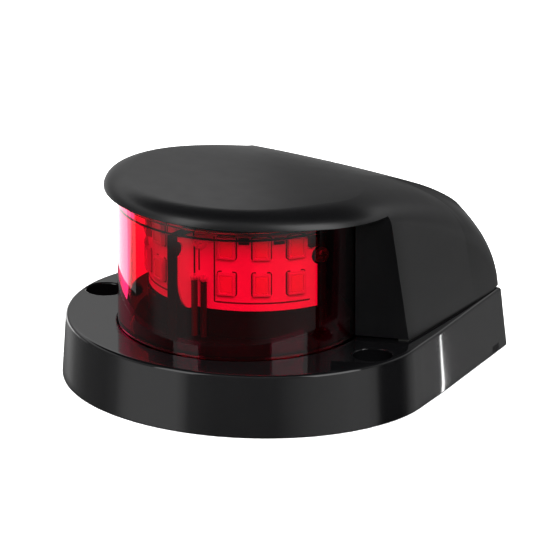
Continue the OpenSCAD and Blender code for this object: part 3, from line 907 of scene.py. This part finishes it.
world = bpy.data.worlds.new("studio")
scene.world = world
world.use_nodes = True
world.cycles.sampling_method = "NONE"
wn = world.node_tree
bg = wn.nodes["Background"]
tc = wn.nodes.new("ShaderNodeTexCoord")
sep = wn.nodes.new("ShaderNodeSeparateXYZ")
wn.links.new(tc.outputs["Generated"], sep.inputs[0])


def wmath(op, a, b=None, clamped=False):
    n = wn.nodes.new("ShaderNodeMath")
    n.operation = op
    n.use_clamp = clamped
    for k, v in enumerate((a, b)):
        if v is None:
            continue
        if isinstance(v, (int, float)):
            n.inputs[k].default_value = v
        else:
            wn.links.new(v, n.inputs[k])
    return n.outputs[0]


def wramp(value, stops):
    """Grey ramp through [(position, level)], interpolated smoothly."""
    r = wn.nodes.new("ShaderNodeValToRGB")
    r.color_ramp.interpolation = "LINEAR"
    els = r.color_ramp.elements
    while len(els) > 1:
        els.remove(els[-1])
    for k, (pos, v) in enumerate(stops):
        el = els[0] if k == 0 else els.new(pos)
        el.position = pos
        el.color = (v, v, v, 1)
    wn.links.new(value, r.inputs[0])
    return r.outputs[0]


# panels and gaps standing round the object, by azimuth from the bow towards port
ROUND = [
    (-180, 0.36), (-157, 0.42), (-125, 0.55), (-111, 0.5), (-100, 0.28), (-85, 0.18), (-66, 0.2), (-57, 0.32), (-51, 0.72), (-44, 0.92),
    (-32, 1.0), (-16, 1.05), (-11, 0.7), (-8, 0.34), (6, 0.22), (42, 0.2), (50, 0.37), (58, 0.52), (66, 0.64), (81, 0.76), (92, 0.84),
    (103, 0.8), (110, 0.6), (114, 0.12), (118, 0.03), (134, 0.03), (140, 0.12), (147, 0.35), (156, 0.52), (165, 0.34), (180, 0.36),
]
around = wmath("ARCTAN2", sep.outputs["X"], wmath("MULTIPLY", sep.outputs["Y"], -1.0))
turn = wmath("ADD", wmath("MULTIPLY", around, 1 / (2 * math.pi)), 0.5)
low = wramp(turn, [((a + 180) / 360, v) for a, v in ROUND])
# the panels stand a little off the floor: darker under them
under = wn.nodes.new("ShaderNodeMapRange")
under.interpolation_type = "SMOOTHSTEP"
under.inputs["From Min"].default_value = -0.325
under.inputs["From Max"].default_value = -0.302
under.inputs["To Min"].default_value = 0.3
under.inputs["To Max"].default_value = 1.0
wn.links.new(sep.outputs["Z"], under.inputs["Value"])
low = wmath("MULTIPLY", low, under.outputs[0])
# walls up to 25 degrees, a dark gap, a soft panel overhead
BEHIND = [(0, 0.2), (8, 0.24), (15, 0.36), (22, 0.6), (28, 1.0), (31, 0.9), (36, 0.03), (90, 0.01)]
AHEAD = [(0, 0.2), (14, 0.2), (26, 0.3), (50, 0.45), (64, 0.3), (76, 0.03), (90, 0.01)]
rear = wramp(sep.outputs["Z"], [(math.sin(math.radians(a)), v) for a, v in BEHIND])
fore = wramp(sep.outputs["Z"], [(math.sin(math.radians(a)), v) for a, v in AHEAD])
away = wn.nodes.new("ShaderNodeMapRange")
away.interpolation_type = "SMOOTHSTEP"
away.inputs["From Min"].default_value = -0.35
away.inputs["From Max"].default_value = 0.15
wn.links.new(wmath("ADD", wmath("MULTIPLY", sep.outputs["X"], -0.593), wmath("MULTIPLY", sep.outputs["Y"], 0.805)), away.inputs["Value"])
both = wn.nodes.new("ShaderNodeMix")
both.data_type = "RGBA"
wn.links.new(away.outputs[0], both.inputs[0])
wn.links.new(fore, both.inputs[6])
wn.links.new(rear, both.inputs[7])
high = both.outputs[2]
lift = wn.nodes.new("ShaderNodeMapRange")
lift.interpolation_type = "SMOOTHSTEP"
lift.inputs["From Min"].default_value = -0.06
lift.inputs["From Max"].default_value = 0.12
wn.links.new(sep.outputs["Z"], lift.inputs["Value"])
mixw = wn.nodes.new("ShaderNodeMix")
mixw.data_type = "RGBA"
wn.links.new(lift.outputs[0], mixw.inputs[0])
wn.links.new(low, mixw.inputs[6])
wn.links.new(high, mixw.inputs[7])
wn.links.new(mixw.outputs[2], bg.inputs[0])
bg.inputs[1].default_value = 1.0


def card(name, az, el, dist, w, h, level):
    """Bright strip that only shows in the gloss."""
    a, e = math.radians(az), math.radians(el)
    d = Vector((math.sin(a) * math.cos(e), -math.cos(a) * math.cos(e), math.sin(e)))
    me = bpy.data.meshes.new(name)
    me.from_pydata([(-w / 2, -h / 2, 0), (w / 2, -h / 2, 0), (w / 2, h / 2, 0), (-w / 2, h / 2, 0)], [], [[0, 1, 2, 3]])
    o = bpy.data.objects.new(name, me)
    o.location = Vector((0, 0, 0.02)) + d * dist
    o.rotation_euler = (Vector((0, 0, 0.02)) - o.location).to_track_quat("Z", "Y").to_euler()
    m = bpy.data.materials.new(name)
    m.use_nodes = True
    nt = m.node_tree
    nt.nodes.remove(nt.nodes["Principled BSDF"])
    em = nt.nodes.new("ShaderNodeEmission")
    em.inputs[1].default_value = level
    nt.links.new(em.outputs[0], nt.nodes["Material Output"].inputs[0])
    m.cycles.emission_sampling = "NONE"
    me.materials.append(m)
    o.visible_camera = False
    o.visible_diffuse = False
    o.visible_shadow = False
    scene.collection.objects.link(o)
    o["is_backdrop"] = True
    return o


card("soft_left", -17, 25, 1.6, 0.68, 1.3, 2.7)
card("soft_right", 81, 25, 1.6, 0.95, 1.3, 3.2)


def curved_card(name, az0, az1, radius, z0, z1, level, centre=(0, -0.00767)):
    """Upright bent strip close to the object that only shows in the gloss."""
    n = 24
    verts, faces = [], []
    for k in range(n + 1):
        a = math.radians(az0 + (az1 - az0) * k / n)
        for z in (z0, z1):
            verts.append((centre[0] + radius * math.sin(a), centre[1] - radius * math.cos(a), z))
    faces = [[2 * k, 2 * k + 1, 2 * k + 3, 2 * k + 2] for k in range(n)]
    me = bpy.data.meshes.new(name)
    me.from_pydata(verts, [], faces)
    o = bpy.data.objects.new(name, me)
    m = bpy.data.materials.new(name)
    m.use_nodes = True
    nt = m.node_tree
    nt.nodes.remove(nt.nodes["Principled BSDF"])
    em = nt.nodes.new("ShaderNodeEmission")
    em.inputs[1].default_value = level
    nt.links.new(em.outputs[0], nt.nodes["Material Output"].inputs[0])
    m.cycles.emission_sampling = "NONE"
    me.materials.append(m)
    for flag in ("visible_camera", "visible_diffuse", "visible_shadow", "visible_transmission"):
        setattr(o, flag, False)
    scene.collection.objects.link(o)
    o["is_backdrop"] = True
    return o


curved_card("strip_lens", -150, -81, 0.086, -0.003, 0.019, 2.3)
curved_card("strip_lens_b", -81, -74, 0.086, -0.003, 0.019, 1.3)
curved_card("strip_lens_c", -74, -66, 0.086, -0.003, 0.019, 0.6)


def near_card(name, corners, level):
    """Small panel close to the object that only shows in the gloss."""
    me = bpy.data.meshes.new(name)
    me.from_pydata(corners, [], [[0, 1, 2, 3]])
    o = bpy.data.objects.new(name, me)
    m = bpy.data.materials.new(name)
    m.use_nodes = True
    nt = m.node_tree
    nt.nodes.remove(nt.nodes["Principled BSDF"])
    em = nt.nodes.new("ShaderNodeEmission")
    em.inputs[1].default_value = level
    nt.links.new(em.outputs[0], nt.nodes["Material Output"].inputs[0])
    m.cycles.emission_sampling = "NONE"
    me.materials.append(m)
    for flag in ("visible_camera", "visible_diffuse", "visible_shadow", "visible_transmission"):
        setattr(o, flag, False)
    scene.collection.objects.link(o)
    o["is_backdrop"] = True
    return o


# a black flag beside the lens keeps the cut-off face dark
near_card("flag", [(0.0255, -0.014, 0.0135), (0.037, -0.008, 0.0135), (0.037, -0.008, 0.036), (0.0255, -0.014, 0.036)], 0.0)
# a narrow lamp for the front end of the straight side
az, el = math.radians(165.9), math.radians(-16.5)
away_dir = Vector((math.sin(az) * math.cos(el), -math.cos(az) * math.cos(el), math.sin(el)))
across = Vector((math.cos(az), math.sin(az), 0))
mid = Vector((0.0358, 0.0048, 0.006)) + away_dir * 0.06
upright = across.cross(away_dir)
near_card("strip_side", [tuple(mid + across * (0.0004 * a) + upright * (0.0075 * b)) for a, b in ((-1, -1), (1, -1), (2.4, 1), (-2.4, 1))], 13.0)
# darker wall behind, to the right, so that the top falls off towards the stern
near_card("flag_back", [(-0.0917, 0.1312, 0.03), (0.0098, 0.2059, 0.03), (0.0098, 0.2059, 0.16), (-0.0917, 0.1312, 0.16)], 0.2)
# black cloth on the floor in front, seen only through the lens
cloth_me = bpy.data.meshes.new("cloth")
pts = []
for k in range(41):
    a = math.radians(-80 + (150 + 80) * k / 40)
    for r in (0.046, 0.9):
        pts.append((r * math.sin(a), -r * math.cos(a), 0.0004))
cloth_me.from_pydata(pts, [], [[2 * k, 2 * k + 1, 2 * k + 3, 2 * k + 2] for k in range(40)])
cloth = bpy.data.objects.new("cloth", cloth_me)
cm, cnt, cp, _ = new_mat("cloth")
cp.inputs["Base Color"].default_value = (0.002, 0.002, 0.002, 1)
cp.inputs["Specular IOR Level"].default_value = 0.0
cp.inputs["Roughness"].default_value = 1.0
cloth_me.materials.append(cm)
for flag in ("visible_camera", "visible_diffuse", "visible_shadow", "visible_glossy"):
    setattr(cloth, flag, False)
scene.collection.objects.link(cloth)
cloth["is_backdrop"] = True

scene.view_settings.view_transform = "Standard"
scene.view_settings.look = "None"
scene.view_settings.exposure = 0
scene.view_settings.gamma = 1
scene.cycles.use_denoising = True
scene.cycles.max_bounces = 14
scene.cycles.transmission_bounces = 12
scene.cycles.transparent_max_bounces = 12
scene.cycles.diffuse_bounces = 5
scene.cycles.sample_clamp_indirect = 6


def plain(b):
    """Nested plain lists of numbers."""
    if isinstance(b, (int, float)):
        return float(b)
    return [plain(c) for c in b]


{"cad": plain(cad_box), "visual": plain(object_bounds())}
